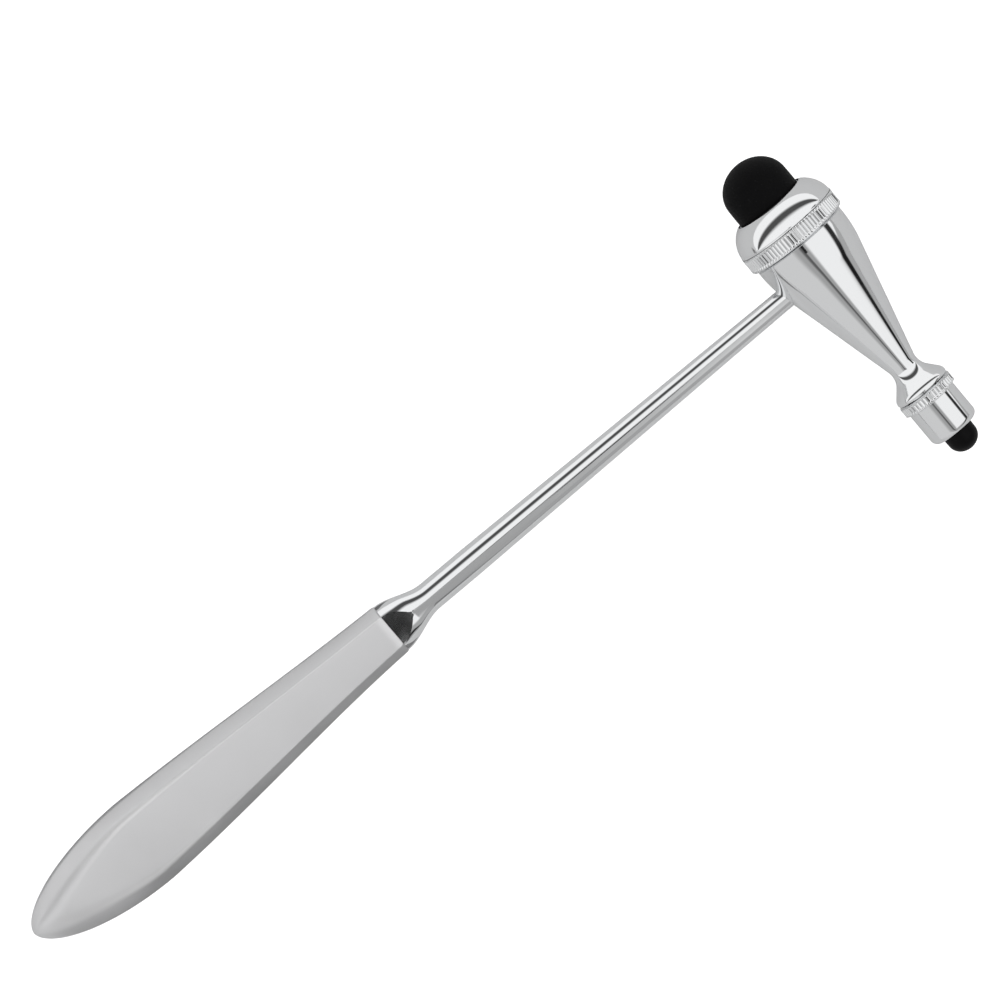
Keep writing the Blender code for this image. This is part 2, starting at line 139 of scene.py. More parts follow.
def ramp(tree, value, low, high, start, end):
    """A smooth step of value from start at low to end at high."""
    limits = {"Value": value, "From Min": low, "From Max": high, "To Min": start, "To Max": end}
    return add_node(tree, "ShaderNodeMapRange", limits, interpolation_type="SMOOTHSTEP").outputs["Result"]


def combine(tree, operation, first, second):
    return add_node(tree, "ShaderNodeMath", {0: first, 1: second}, operation=operation).outputs[0]


def between(tree, first, second, share):
    """first where share is 0, second where it is 1."""
    part = {"Factor": share, "A": first, "B": second}
    return add_node(tree, "ShaderNodeMix", part, data_type="FLOAT").outputs["Result"]


def dark_band(tree, value, rise, fall, depth):
    """The share that a band takes from the light: depth between its rise and its fall, none beyond."""
    start = ramp(tree, value, *rise, 0.0, depth)
    return combine(tree, "MULTIPLY", start, ramp(tree, value, *fall, 1.0, 0.0))


def dimmed(tree, light, taken):
    return combine(tree, "MULTIPLY", light, combine(tree, "SUBTRACT", 1.0, taken))


# A place in the tent is given by the slopes at which it is seen from the table: along the shaft, towards
# the head, and across it, towards the small mallet. A pair holds where a change starts and where it ends,
# and a band has a pair for its rise, a pair for its fall and its depth.
LEAST_HEIGHT = 0.001  # of a line of sight, so that the slopes stay finite at the horizon
SOFT_BOX = 1.08
SOFT_BOX_EDGE = (-0.06, 0.1)
BAR = ((-1.9, -1.3), (-0.85, -0.5), 0.92)
PALE_CLOTH, GREY_CLOTH, CLOTH_FADE = 0.72, 0.42, (-0.75, -0.4)
FOLD = ((-0.32, -0.2), (-0.16, -0.1), 0.7)
WHITE_CLOTH, WHITE_CLOTH_EDGE = 1.05, (-0.02, 0.12)
SHADED_CLOTH, SHADE_FADE = 0.45, (1.0, 1.5)
SEAM = ((1.6, 2.1), (3.2, 4.4), 0.97)
LENS_DARK, LENS_EDGE = 0.1, (0.0012, 0.0035)  # squared slopes at the edge of the lens overhead

direction = add_node(tree, "ShaderNodeTexCoord").outputs["Generated"]
height = combine(tree, "MAXIMUM", dot(tree, direction, (0, 0, 1)), LEAST_HEIGHT)
along = combine(tree, "DIVIDE", dot(tree, direction, shaft_axis), height)
across = combine(tree, "DIVIDE", dot(tree, direction, -head_axis), height)
grey_side = ramp(tree, along, *CLOTH_FADE, PALE_CLOTH, GREY_CLOTH)
grey_side = dimmed(tree, grey_side, dark_band(tree, along, *FOLD))
white_side = ramp(tree, across, *SHADE_FADE, WHITE_CLOTH, SHADED_CLOTH)
cloth = between(tree, grey_side, white_side, ramp(tree, along, *WHITE_CLOTH_EDGE, 0.0, 1.0))
cloth = dimmed(tree, cloth, dark_band(tree, along, *SEAM))
soft_box = combine(tree, "MULTIPLY", SOFT_BOX, combine(tree, "SUBTRACT", 1.0, dark_band(tree, across, *BAR)))
light = between(tree, soft_box, cloth, ramp(tree, across, *SOFT_BOX_EDGE, 0.0, 1.0))
along_squared = combine(tree, "MULTIPLY", along, along)
across_squared = combine(tree, "MULTIPLY", across, across)
from_lens = combine(tree, "ADD", along_squared, across_squared)
light = combine(tree, "MULTIPLY", light, ramp(tree, from_lens, *LENS_EDGE, LENS_DARK, 1.0))
sky = add_node(tree, "ShaderNodeBackground", {"Color": (1, 1, 1, 1), "Strength": light})
add_node(tree, "ShaderNodeOutputWorld", {"Surface": sky.outputs[0]})

# Three cards that the camera doesn't see. A small black one hangs over the table, on the line that the
# bolster's flat facet mirrors to the lens. Two grey ones lie on the table along the handle, so that its
# bevels mirror something darker than the table.
CARD_HEIGHT = 0.45
CARD_HALF_LENGTH = 24 * MM
CARD_HALF_WIDTH = 26 * MM
FACET_FALL = 0.65 / 6.3  # slope of that facet, towards the head
FACET_SPOT = Vector((-124 * MM, 0, 3.8 * MM))
FLAG_MIDDLE = 180 * MM  # from the head, along the shaft
FLAG_HALF_LENGTH = 60 * MM
FLAG_DISTANCE = 14 * MM  # of its near edge from the shaft's axis
FLAG_LIFT = 1 * MM


def add_card(name, material_name, to, half_length, half_width, shade):
    """A matt card of one plain grey, its length and width along the first two axes of a matrix."""
    made = bpy.data.materials.new(material_name)
    made.use_nodes = True
    shader = made.node_tree.nodes["Principled BSDF"]
    shader.inputs["Base Color"].default_value = (shade, shade, shade, 1)
    shader.inputs["Roughness"].default_value = 0.9
    bm = bmesh.new()
    bmesh.ops.create_grid(bm, x_segments=1, y_segments=1, size=1.0)
    size = Matrix.Diagonal((half_length, half_width, 1, 1))
    bmesh.ops.transform(bm, matrix=to @ size, verts=bm.verts)
    card = link_mesh(name, bm, made)
    card.visible_camera = False
    card.visible_diffuse = False
    card.visible_shadow = False


facet_normal = (face_axis + shaft_axis * FACET_FALL).normalized()
facet_spot = hammer @ FACET_SPOT
to_lens = (camera.location - facet_spot).normalized()
mirrored = facet_normal * (2 * facet_normal.dot(to_lens)) - to_lens
card_middle = facet_spot + mirrored * (CARD_HEIGHT / mirrored.z)
over_table = Matrix.Translation(card_middle) @ hammer.to_3x3().to_4x4()
add_card("black_card", "black_card", over_table, CARD_HALF_LENGTH, CARD_HALF_WIDTH, 0.01)
shaft_turn = Matrix.Rotation(math.atan2(shaft_axis.y, shaft_axis.x), 4, "Z")
for name, side, half_width, shade in (("near_flag", -1, 30 * MM, 0.3), ("far_flag", 1, 18 * MM, 0.2)):
    spot = crossing - shaft_axis * FLAG_MIDDLE + head_axis * (side * (FLAG_DISTANCE + half_width))
    spot.z = FLAG_LIFT
    on_table = Matrix.Translation(spot) @ shaft_turn
    add_card(name, name + "_card", on_table, FLAG_HALF_LENGTH, half_width, shade)


# ---- Head ------------------------------------------------------------------------------------------
# One bar of brass, turned to a shoulder, a long cone and a neck, threaded at both ends, then polished
# and chromed. The polish leaves faint rings round it.
def linear(code):
    """An sRGB hex colour as the linear values that a shader takes."""
    shares = [int(code[i : i + 2], 16) / 255 for i in (0, 2, 4)]
    return (*[s / 12.92 if s <= 0.04045 else ((s + 0.055) / 1.055) ** 2.4 for s in shares], 1.0)


def bezier(points, steps):
    """Points of a cubic curve after its first point."""
    made = []
    for step in range(1, steps + 1):
        t = step / steps
        weights = ((1 - t) ** 3, 3 * t * (1 - t) ** 2, 3 * t * t * (1 - t), t**3)
        made.append(tuple(sum(w * p[axis] for w, p in zip(weights, points)) for axis in (0, 1)))
    return made


def rounded(before, corner, after, radius, steps):
    """The arc that rounds a corner of an outline."""
    corner = Vector(corner)
    towards = (Vector(before) - corner).normalized()
    away_from = (Vector(after) - corner).normalized()
    half = towards.angle(away_from) / 2
    centre = corner + (towards + away_from).normalized() * radius / math.sin(half)
    first = corner + towards * radius / math.tan(half) - centre
    turn = (math.pi - 2 * half) * (1 if first.cross(away_from) > 0 else -1)
    return [tuple(centre + Matrix.Rotation(turn * i / steps, 2) @ first) for i in range(steps + 1)]


def softened(outline, radius, steps=3):
    """The outline with its own corners rounded, apart from those on the axis and the slight ones."""
    made = []
    for i, corner in enumerate(outline):
        before = Vector(outline[i - 1]) - Vector(corner)
        after = Vector(outline[(i + 1) % len(outline)]) - Vector(corner)
        turn = math.pi - before.angle(after)
        room = radius * math.tan(turn / 2)
        if corner[0] < 1e-9 or turn < math.radians(25) or room > 0.45 * min(before.length, after.length):
            made.append(corner)
        else:
            made += rounded(outline[i - 1], corner, outline[(i + 1) % len(outline)], radius, steps)
    return made


def turned(outline, facets):
    """Spins a closed outline of (radius, height) round Z."""
    bm = bmesh.new()
    ring = [bm.verts.new((radius, 0.0, z)) for radius, z in outline]
    rim = []
    for here, following in zip(ring, ring[1:] + ring[:1]):
        if here.co.x > 1e-9 or following.co.x > 1e-9:
            rim.append(bm.edges.new((here, following)))
    bmesh.ops.spin(
        bm, geom=ring + rim, cent=(0, 0, 0), axis=(0, 0, 1), angle=math.tau, steps=facets, use_merge=True
    )
    bmesh.ops.remove_doubles(bm, verts=bm.verts, dist=1e-7)
    return bm


def screw(crest_radius, start, end, facets):
    """A right-hand thread of 1 mm pitch, cut square at both heights, in step with height 0."""
    pitch = 1.0 * MM
    root_radius = crest_radius - 0.54 * pitch
    fillet = root_radius + 0.06 * MM
    below = (math.floor(start / pitch) - 1) * pitch
    turns = math.ceil((end - below) / pitch) + 1
    form = [(root_radius, 0), (root_radius, 3.6), (fillet, 4.4), (crest_radius, 9.2)]
    form += [(crest_radius, 10.8), (fillet, 15.6), (root_radius, 16)]
    bm = bmesh.new()
    line = [bm.verts.new((radius, 0.0, below + pitch * sixteenths / 16)) for radius, sixteenths in form]
    edges = [bm.edges.new(pair) for pair in zip(line, line[1:])]
    bmesh.ops.spin(
        bm, geom=line + edges, cent=(0, 0, 0), axis=(0, 0, 1), dvec=(0, 0, pitch / facets),
        angle=math.tau * turns, steps=facets * turns,
    )
    bmesh.ops.remove_doubles(bm, verts=bm.verts, dist=1e-7)
    for z, side in ((start, -1), (end, 1)):
        everything = bm.verts[:] + bm.edges[:] + bm.faces[:]
        bmesh.ops.bisect_plane(
            bm, geom=everything, dist=1e-8, plane_co=(0, 0, z), plane_no=(0, 0, side), clear_outer=True
        )
        rim = [e for e in bm.edges if e.is_boundary and max(abs(v.co.z - z) for v in e.verts) < 1e-6]
        bmesh.ops.edgeloop_fill(bm, edges=rim)
    return bm


def place(name, bm, to, material, body, node, sharp=32.0):
    """Faces a mesh outwards, lays it in the hammer, hands it to its body and hides the CAD node that it
    stands in for.
    """
    bmesh.ops.recalc_face_normals(bm, faces=bm.faces)
    if bm.calc_volume(signed=True) < 0:
        bmesh.ops.reverse_faces(bm, faces=bm.faces)
    bmesh.ops.transform(bm, matrix=to, verts=bm.verts)
    made = link_mesh(name, bm, material)
    made.data.shade_smooth()
    made.data.set_sharp_from_angle(angle=math.radians(sharp))
    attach(made, body)
    if node:
        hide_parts(node)
    return made


def chrome_plate(name, axis):
    """Bright chrome over a turned and buffed blank: near-mirror, with faint rings round its axis."""
    RING_SPACING = 0.16 * MM  # drawn coarser than a real buffed finish, so that it shows
    RING_HEIGHT = 0.0012 * MM
    HAZE_SIZE = 9 * MM
    CLEAR, HAZY = 0.045, 0.1  # roughness
    made = bpy.data.materials.new(name)
    made.use_nodes = True
    tree = made.node_tree
    shader = tree.nodes["Principled BSDF"]
    shader.inputs["Base Color"].default_value = linear("E6E7E8")
    shader.inputs["Metallic"].default_value = 1.0
    place_on = add_node(tree, "ShaderNodeTexCoord").outputs["Object"]
    from_middle = add_node(tree, "ShaderNodeVectorMath", {0: place_on, 1: crossing}, operation="SUBTRACT")
    along = dot(tree, from_middle.outputs[0], axis)
    spacing = {"W": along, "Scale": 1 / RING_SPACING, "Detail": 3.0}
    rings = add_node(tree, "ShaderNodeTexNoise", spacing, noise_dimensions="1D")
    haze = add_node(tree, "ShaderNodeTexNoise", {"Vector": place_on, "Scale": 1 / HAZE_SIZE, "Detail": 4.0})
    tree.links.new(ramp(tree, haze.outputs[0], 0.35, 0.7, CLEAR, HAZY), shader.inputs["Roughness"])
    bump = add_node(
        tree, "ShaderNodeBump", {"Height": rings.outputs[0], "Strength": 0.35, "Distance": RING_HEIGHT}
    )
    tree.links.new(bump.outputs[0], shader.inputs["Normal"])
    return made


LARGE_SEAT = 8.4 * MM
LARGE_SEAT_RADIUS = 11.72 * MM
SMALL_SEAT = 35.7 * MM
SMALL_SEAT_RADIUS = 6.8 * MM
LARGE_THREAD = 10.3 * MM
LARGE_SPIGOT = 3.5 * MM
SMALL_THREAD = 5.2 * MM
SMALL_SPIGOT = 4.9 * MM
SPIGOT_ROOT = 0.5 * MM  # of each spigot, sunk in the head
SHOULDER_ROUND = 30 * MM
NECK_ROUND = 4.5 * MM
FLARE_ROUND = 2 * MM
SEAT_EDGE = 0.25 * MM
SMALL_SEAT_EDGE = 0.12 * MM

head_top = (LARGE_SEAT_RADIUS, LARGE_SEAT)
head_shoulder = (LARGE_SEAT_RADIUS, 3.45 * MM)
head_neck = (3.07 * MM, -30.3 * MM)
head_flare = (SMALL_SEAT_RADIUS, -34.7 * MM)
head_bottom = (SMALL_SEAT_RADIUS, -SMALL_SEAT)
outline = [(0, LARGE_SEAT), (LARGE_SEAT_RADIUS - SEAT_EDGE, LARGE_SEAT)]
outline.append((LARGE_SEAT_RADIUS, LARGE_SEAT - SEAT_EDGE))
outline += rounded(head_top, head_shoulder, head_neck, SHOULDER_ROUND, 24)
outline += rounded(head_shoulder, head_neck, head_flare, NECK_ROUND, 24)
outline += rounded(head_neck, head_flare, head_bottom, FLARE_ROUND, 12)
outline += [(SMALL_SEAT_RADIUS - SMALL_SEAT_EDGE, -SMALL_SEAT), (0, -SMALL_SEAT)]
head_chrome = chrome_plate("chromed_brass_head", head_axis)
place("head", turned(outline, 256), large_end, head_chrome, "handle_and_head", "head_body")
for name, to, seat, length, radius in (
    ("large_spigot", large_end, LARGE_SEAT, LARGE_SPIGOT, LARGE_THREAD),
    ("small_spigot", small_end, SMALL_SEAT, SMALL_SPIGOT, SMALL_THREAD),
):
    thread = screw(radius, seat - SPIGOT_ROOT, seat + length, 96)
    place(name, thread, to, head_chrome, "handle_and_head", None)


# ---- Shaft -----------------------------------------------------------------------------------------
# A round steel rod, tapered to the head and soldered into it. Its other end spreads into a bolster with
# a flat polished scoop, and a tang behind that is soldered into the handle.
HEAD_TO_BUTT = 232.3 * MM
HANDLE_LENGTH = 106.1 * MM
FRONT = HANDLE_LENGTH - HEAD_TO_BUTT
BOLSTER_LENGTH = 11.3 * MM
SHAFT_RADIUS = 3.5 * MM
TIP_RADIUS = 2.48 * MM
PARALLEL_LENGTH = 12.0 * MM
WIDEST = 33.0 * MM
HALF_WIDTH = 10.7 * MM
FRONT_HALF_WIDTH = 6.36 * MM
HALF_THICKNESS = 5.4 * MM
FRONT_HALF_THICKNESS = 4.2 * MM
FACE_HALF_WIDTH = 7.3 * MM
FRONT_FACE_HALF_WIDTH = 4.05 * MM
EDGE_HALF_THICKNESS = 1.0 * MM
BUTT_ROUND = 13.0 * MM
BUTT_FACE_SHARE = 0.35
BUTT_POWER = 0.56  # shapes the leaf between its tip and its widest section: less is fuller
WAIST_EASE = 0.5  # how much of the leaf's narrowing to its front is S-shaped
WAIST_POWER = 0.9  # of the rest of that narrowing


def eased(share):
    """A smooth step from 0 to 1."""
    return share * share * (3 - 2 * share)


def leaf(station, widest, front):
    """Half width of the handle's leaf at a distance from its butt."""
    if station <= WIDEST:
        return widest * (1 - (1 - station / WIDEST) ** 2) ** BUTT_POWER
    along = (station - WIDEST) / (HANDLE_LENGTH - WIDEST)
    waist = WAIST_EASE * eased(along) + (1 - WAIST_EASE) * along**WAIST_POWER
    return widest + (front - widest) * waist


def handle_section(station):
    """Half sizes of the handle at a distance from its butt: width, thickness, flat face, side."""
    nose = math.sqrt(1 - (1 - min(station / BUTT_ROUND, 1)) ** 2)
    along = max(0.0, (station - WIDEST) / (HANDLE_LENGTH - WIDEST))
    thickness = (HALF_THICKNESS + (FRONT_HALF_THICKNESS - HALF_THICKNESS) * along) * nose
    width = leaf(station, HALF_WIDTH, FRONT_HALF_WIDTH)
    if station > WIDEST:
        face = leaf(station, FACE_HALF_WIDTH, FRONT_FACE_HALF_WIDTH)
    else:
        broad = FACE_HALF_WIDTH / HALF_WIDTH
        face = width * (BUTT_FACE_SHARE + (broad - BUTT_FACE_SHARE) * eased(station / WIDEST))
    return width, thickness, face, EDGE_HALF_THICKNESS * nose


def ring_edges(bm, corners):
    return [bm.edges.get(pair) for pair in zip(corners, corners[1:] + corners[:1])]


def loft(rings):
    """Grows one skin through closed rings of 3-D points that all run the same way, with flat ends."""
    bm = bmesh.new()
    corners = [bm.verts.new(point) for point in rings[0]]
    bm.faces.new(corners)
    for ring in rings[1:]:
        grown = bmesh.ops.extrude_edge_only(bm, edges=ring_edges(bm, corners))["geom"]
        fresh = {item for item in grown if isinstance(item, bmesh.types.BMVert)}
        following = []
        for corner, point in zip(corners, ring):
            twin = ({edge.other_vert(corner) for edge in corner.link_edges} & fresh).pop()
            twin.co = point
            following.append(twin)
        corners = following
    bm.faces.new(corners)
    return bm


def round_ring(radius, x):
    return flattened_ring(radius, radius, radius, x)


def flattened_ring(wide, tall, flat, x):
    """An oval ring, cut flat above and below at a height. Its points keep their order from ring to ring."""
    FLAT_STEPS = 16
    ARC_STEPS = 48
    LEAST_FLAT = 0.06  # as a share of the width, where the oval is lower than the cut
    corner = wide * math.sqrt(max(0.0, 1 - (flat / tall) ** 2))
    corner = max(corner, wide * LEAST_FLAT)
    drop = math.acos(corner / wide)
    top = []
    for step in range(FLAT_STEPS):
        y = corner * (1 - 2 * step / FLAT_STEPS)
        top.append((y, min(flat, tall * math.sqrt(1 - (y / wide) ** 2))))
    side = []
    for step in range(ARC_STEPS):
        angle = math.pi - drop + 2 * drop * step / ARC_STEPS
        side.append((wide * math.cos(angle), min(flat, tall * math.sin(angle))))
    half = top + side
    return [(x, y, z) for y, z in half + [(-y, -z) for y, z in half]]


BOLSTER_TALL = 5.2 * MM  # half height of the oval that the facets are cut from
FACET_START = 4.12 * MM  # half height of the bolster over its facets
BOLSTER_STEP = 0.12 * MM  # from the handle's edge in to the bolster's
BOLSTER_GAP = 0.02 * MM  # between the handle's front and the bolster
BOLSTER_SINK = 1.75  # how many times sooner its height comes down to the shaft's than its width does
BOLSTER_RINGS = 64
TAPER_RINGS = 12
TIP_END = 6 * MM  # from the head's axis, inside the head

rings = []
for step in range(BOLSTER_RINGS + 1):
    share = step / BOLSTER_RINGS
    run = BOLSTER_LENGTH * share
    wide = FRONT_HALF_WIDTH - BOLSTER_STEP
    wide += (SHAFT_RADIUS - wide) * eased(share)
    tall = BOLSTER_TALL + (SHAFT_RADIUS - BOLSTER_TALL) * eased(min(1.0, share * BOLSTER_SINK))
    flat = max(FACET_START - FACET_FALL * run, SHAFT_RADIUS)
    rings.append(flattened_ring(wide, tall, flat, FRONT + BOLSTER_GAP + run))
taper_start = FRONT + BOLSTER_LENGTH + PARALLEL_LENGTH
for step in range(TAPER_RINGS + 1):
    share = step / TAPER_RINGS
    x = taper_start + (-LARGE_SEAT_RADIUS - taper_start) * share
    rings.append(round_ring(SHAFT_RADIUS + (TIP_RADIUS - SHAFT_RADIUS) * share, x))
rings.append(round_ring(TIP_RADIUS, -TIP_END))
shaft_chrome = chrome_plate("chromed_steel_shaft", shaft_axis)
place(
    "shaft_and_bolster", loft(rings), hammer, shaft_chrome, "handle_and_head", "shaft", sharp=12.0
)


# ---- Handle ----------------------------------------------------------------------------------------
# Forged and milled steel, bevelled along both flat faces and run out to a rounded butt. It is left
# satin by fine glass beads, so it is the only part of the hammer without a mirror finish.
CORNER_ROUND = 0.6 * MM
BUTT_SOFT = 6.5 * MM  # more rounding of the corners at the butt
BUTT_SOFT_LENGTH = 2.2 * WIDEST
PILLOW = 0.6  # how far the section has gone from an octagon to an oval at the butt
CORNER_ROOM = 0.46  # most of a side that a rounded corner takes
CORNER_STEPS = 5
LEAN = 1.0 * MM  # how far the butt stands off the shaft's line, towards the small mallet
LEAN_POWER = 1.3
FRONT_CHAMFER = 0.5 * MM
CHAMFER_DROP = 0.19 * MM
BUTT_CUT = 0.035 * MM  # of the tip left off, so that the first ring has some size
FINE_LENGTH = 2 * WIDEST  # of the stretch from the butt with rings that close up towards it
FINE_RINGS = 60
FRONT_RINGS = 24


def handle_ring(station, shrink=0.0):
    """The handle's octagon at a station, with rounded corners. Towards the butt it becomes an oval."""
    width, thickness, face, side = handle_section(station)
    width, thickness, face, side = (size - shrink for size in (width, thickness, face, side))
    upper = [(width, side), (face, thickness), (-face, thickness), (-width, side)]
    corners = upper + [(-y, -z) for y, z in upper]
    butt = max(0.0, 1 - station / BUTT_SOFT_LENGTH) ** 2
    radius = CORNER_ROUND + BUTT_SOFT * butt
    points = []
    for i, corner in enumerate(corners):
        before, after = Vector(corners[i - 1]), Vector(corners[(i + 1) % len(corners)])
        here = Vector(corner)
        half = (before - here).angle(after - here) / 2
        room = CORNER_ROOM * min((before - here).length, (after - here).length) * math.tan(half)
        points += rounded(before, here, after, min(radius, room), CORNER_STEPS)
    pillow = PILLOW * (1 - eased(min(1.0, station / WIDEST)))
    for i, (y, z) in enumerate(points):
        out = math.hypot(y / width, z / thickness)
        squeeze = 1 + pillow * (min(1.0, 1 / out) - 1)
        points[i] = (y * squeeze, z * squeeze)
    lean = -LEAN * (1 - eased((station / HANDLE_LENGTH) ** LEAN_POWER))
    return [(station - HEAD_TO_BUTT, lean + y, z) for y, z in points]


stations = [BUTT_CUT]
stations += [FINE_LENGTH * (step / FINE_RINGS) ** 2 for step in range(2, FINE_RINGS + 1)]
front_length = HANDLE_LENGTH - FINE_LENGTH - FRONT_CHAMFER
stations += [FINE_LENGTH + front_length * step / FRONT_RINGS for step in range(1, FRONT_RINGS + 1)]
rings = [handle_ring(station) for station in stations]
rings.append(handle_ring(HANDLE_LENGTH, CHAMFER_DROP))

# Bead-blasted steel: an even grey sheen, with soft cloudy patches and a fine grain.
satin = bpy.data.materials.new("bead_blasted_steel")
satin.use_nodes = True
tree = satin.node_tree
shader = tree.nodes["Principled BSDF"]
shader.inputs["Metallic"].default_value = 1.0
BEAD_SIZE = 0.22 * MM  # a little coarser than real glass beads, so that it shows
BEAD_DEPTH = 0.02 * MM
CLOUD_SIZE = 14 * MM
SATIN_LOW, SATIN_HIGH = 0.46, 0.54  # roughness
place_on = add_node(tree, "ShaderNodeTexCoord").outputs["Object"]
beads = add_node(tree, "ShaderNodeTexNoise", {"Vector": place_on, "Scale": 1 / BEAD_SIZE, "Detail": 2.0})
clouds = add_node(tree, "ShaderNodeTexNoise", {"Vector": place_on, "Scale": 1 / CLOUD_SIZE, "Detail": 5.0})
steel = {"Factor": clouds.outputs[0], "A": linear("DCDCDD"), "B": linear("E6E6E7")}
tone = add_node(tree, "ShaderNodeMix", steel, data_type="RGBA").outputs["Result"]
tree.links.new(ramp(tree, clouds.outputs[0], 0.3, 0.7, SATIN_LOW, SATIN_HIGH), shader.inputs["Roughness"])
bump = add_node(tree, "ShaderNodeBump", {"Height": beads.outputs[0], "Strength": 0.5, "Distance": BEAD_DEPTH})
tree.links.new(bump.outputs[0], shader.inputs["Normal"])
# Painted highlight, partly wear: the base colour goes to white on the corners that this attribute marks.
wear_and_highlight = add_node(tree, "ShaderNodeAttribute", attribute_name="wear_and_highlight").outputs["Fac"]
bright = {"Factor": wear_and_highlight, "A": tone, "B": linear("FFFFFF")}
highlighted_tone = add_node(tree, "ShaderNodeMix", bright, data_type="RGBA").outputs["Result"]
tree.links.new(highlighted_tone, shader.inputs["Base Color"])
handle = place(
    "satin_handle", loft(rings), hammer, satin, "handle_and_head", "handle", sharp=50.0
)
# Corners of the flat faces, not those at the butt, get brighter: partly wear, partly a painted highlight.
CORNER_COSINE = 0.9  # of the slope halfway round such a corner
CORNER_SPREAD = 0.1
PLAIN_BUTT = 0.2 * WIDEST  # length of the butt whose corners are not brightened
corner_brightness = handle.data.attributes.new("wear_and_highlight", "FLOAT", "POINT")
for spot, normal, share in zip(handle.data.vertices, handle.data.vertex_normals, corner_brightness.data):
    station = (spot.co - crossing).dot(shaft_axis) + HEAD_TO_BUTT
    near = 1 - abs(abs(normal.vector.dot(face_axis)) - CORNER_COSINE) / CORNER_SPREAD
    share.value = max(0.0, near) * eased(min(1.0, max(0.0, (station - PLAIN_BUTT) / WIDEST)))


# ---- Screw caps ------------------------------------------------------------------------------------
# Turned brass rings, chromed and polished. A fluted band for the fingers runs round the open end, and
# the far end is rolled in to a lip that holds the mallet by its foot.
CAP_GAP = 0.3 * MM  # between a cap and its seat
BORE_CHAMFER = 0.3 * MM
FOOT_EDGE_ROUND = 0.2 * MM
CAP_EDGE = 0.22 * MM
CAP_BEAD = 0.3 * MM  # plain rim above and below the flutes
CAP_ROWS = 10  # of faces up a flute
LEAST_BARREL = 0.3 * MM  # between the band and the shoulder
BARREL_EASE = (0.12 * MM, 0.14 * MM)  # fillet between band and barrel, out and up
LIP_ROUND = 0.25 * MM
NOSE_LEAN, NOSE_RISE = 0.08, 0.5  # how far in and up the shoulder's curve starts, as shares of its size
NOSE_RUN, NOSE_DROP = 0.45, 0.16  # and how far out and down it ends
FLUTE_DEPTH = 0.24 * MM
FLUTE_END = 0.35 * MM  # length over which a flute runs out
FLUTE_NARROWING = 0.8  # 1 would leave a flute half of its pitch, and less makes it wider
FLUTE_POWER, FLUTE_END_POWER = 0.8, 0.5  # less than 1 is fuller than a wave, and than a straight slope
FLUTE_STEPS = 8


def screw_cap(name, to, body, seat, lip_base, top, mouth, bore, grip, barrel, nose, flutes):
    """grip is (radius, height), barrel a radius, nose (radius, height) of the rounded end."""
    base = seat + CAP_GAP
    band = base + grip[1]
    shoulder = max(top - nose[1], band + LEAST_BARREL)
    first_row = base + CAP_BEAD
    last_row = band - CAP_BEAD
    outline = [(bore, base + BORE_CHAMFER), (bore + BORE_CHAMFER, base), (grip[0] - CAP_EDGE, base)]
    outline += rounded((bore, base), (grip[0], base), (grip[0], band), FOOT_EDGE_ROUND, 4)[1:]
    outline += [(grip[0], first_row + (last_row - first_row) * i / CAP_ROWS) for i in range(CAP_ROWS + 1)]
    outline += rounded((grip[0], base), (grip[0], band), (bore, band), CAP_EDGE, 5)
    outline += [(barrel + BARREL_EASE[0], band), (barrel, band + BARREL_EASE[1])]
    outline.append((barrel, shoulder))
    width = barrel - nose[0]
    height = top - shoulder
    start_handle = (barrel - width * NOSE_LEAN, shoulder + height * NOSE_RISE)
    end_handle = (nose[0] + width * NOSE_RUN, top - height * NOSE_DROP)
    outline += bezier(((barrel, shoulder), start_handle, end_handle, (nose[0], top)), 20)
    outline += rounded((nose[0], top), (mouth, top), (mouth, lip_base), LIP_ROUND, 5)
    outline += [(mouth, lip_base), (bore, lip_base)]
    bm = turned(outline, flutes * FLUTE_STEPS)
    for corner in bm.verts:
        x, y, z = corner.co
        radius = math.hypot(x, y)
        if abs(radius - grip[0]) < 0.02 * MM and first_row - 1e-6 <= z <= last_row + 1e-6:
            place_in_flute = math.atan2(y, x) * flutes / math.tau % 1.0
            wave = math.cos((place_in_flute - 0.5) * math.tau * FLUTE_NARROWING)
            groove = max(0.0, wave) ** FLUTE_POWER
            near_end = min(z - first_row, last_row - z) / FLUTE_END
            depth = FLUTE_DEPTH * groove * min(1.0, max(0.0, near_end)) ** FLUTE_END_POWER
            corner.co.x *= (radius - depth) / radius
            corner.co.y *= (radius - depth) / radius
    place(name, bm, to, head_chrome, body, body)


screw_cap(
    "large_screw_cap", large_end, "large_cap", LARGE_SEAT,
    lip_base=16.0 * MM, top=18.8 * MM, mouth=8.4 * MM, bore=9.96 * MM,
    grip=(12.73 * MM, 4.1 * MM), barrel=12.62 * MM, nose=(9.0 * MM, 5.7 * MM), flutes=88,
)
screw_cap(
    "small_screw_cap", small_end, "small_cap", SMALL_SEAT,
    lip_base=44.5 * MM, top=47.7 * MM, mouth=4.02 * MM, bore=4.86 * MM,
    grip=(6.95 * MM, 2.7 * MM), barrel=6.15 * MM, nose=(5.2 * MM, 1.3 * MM), flutes=48,
)


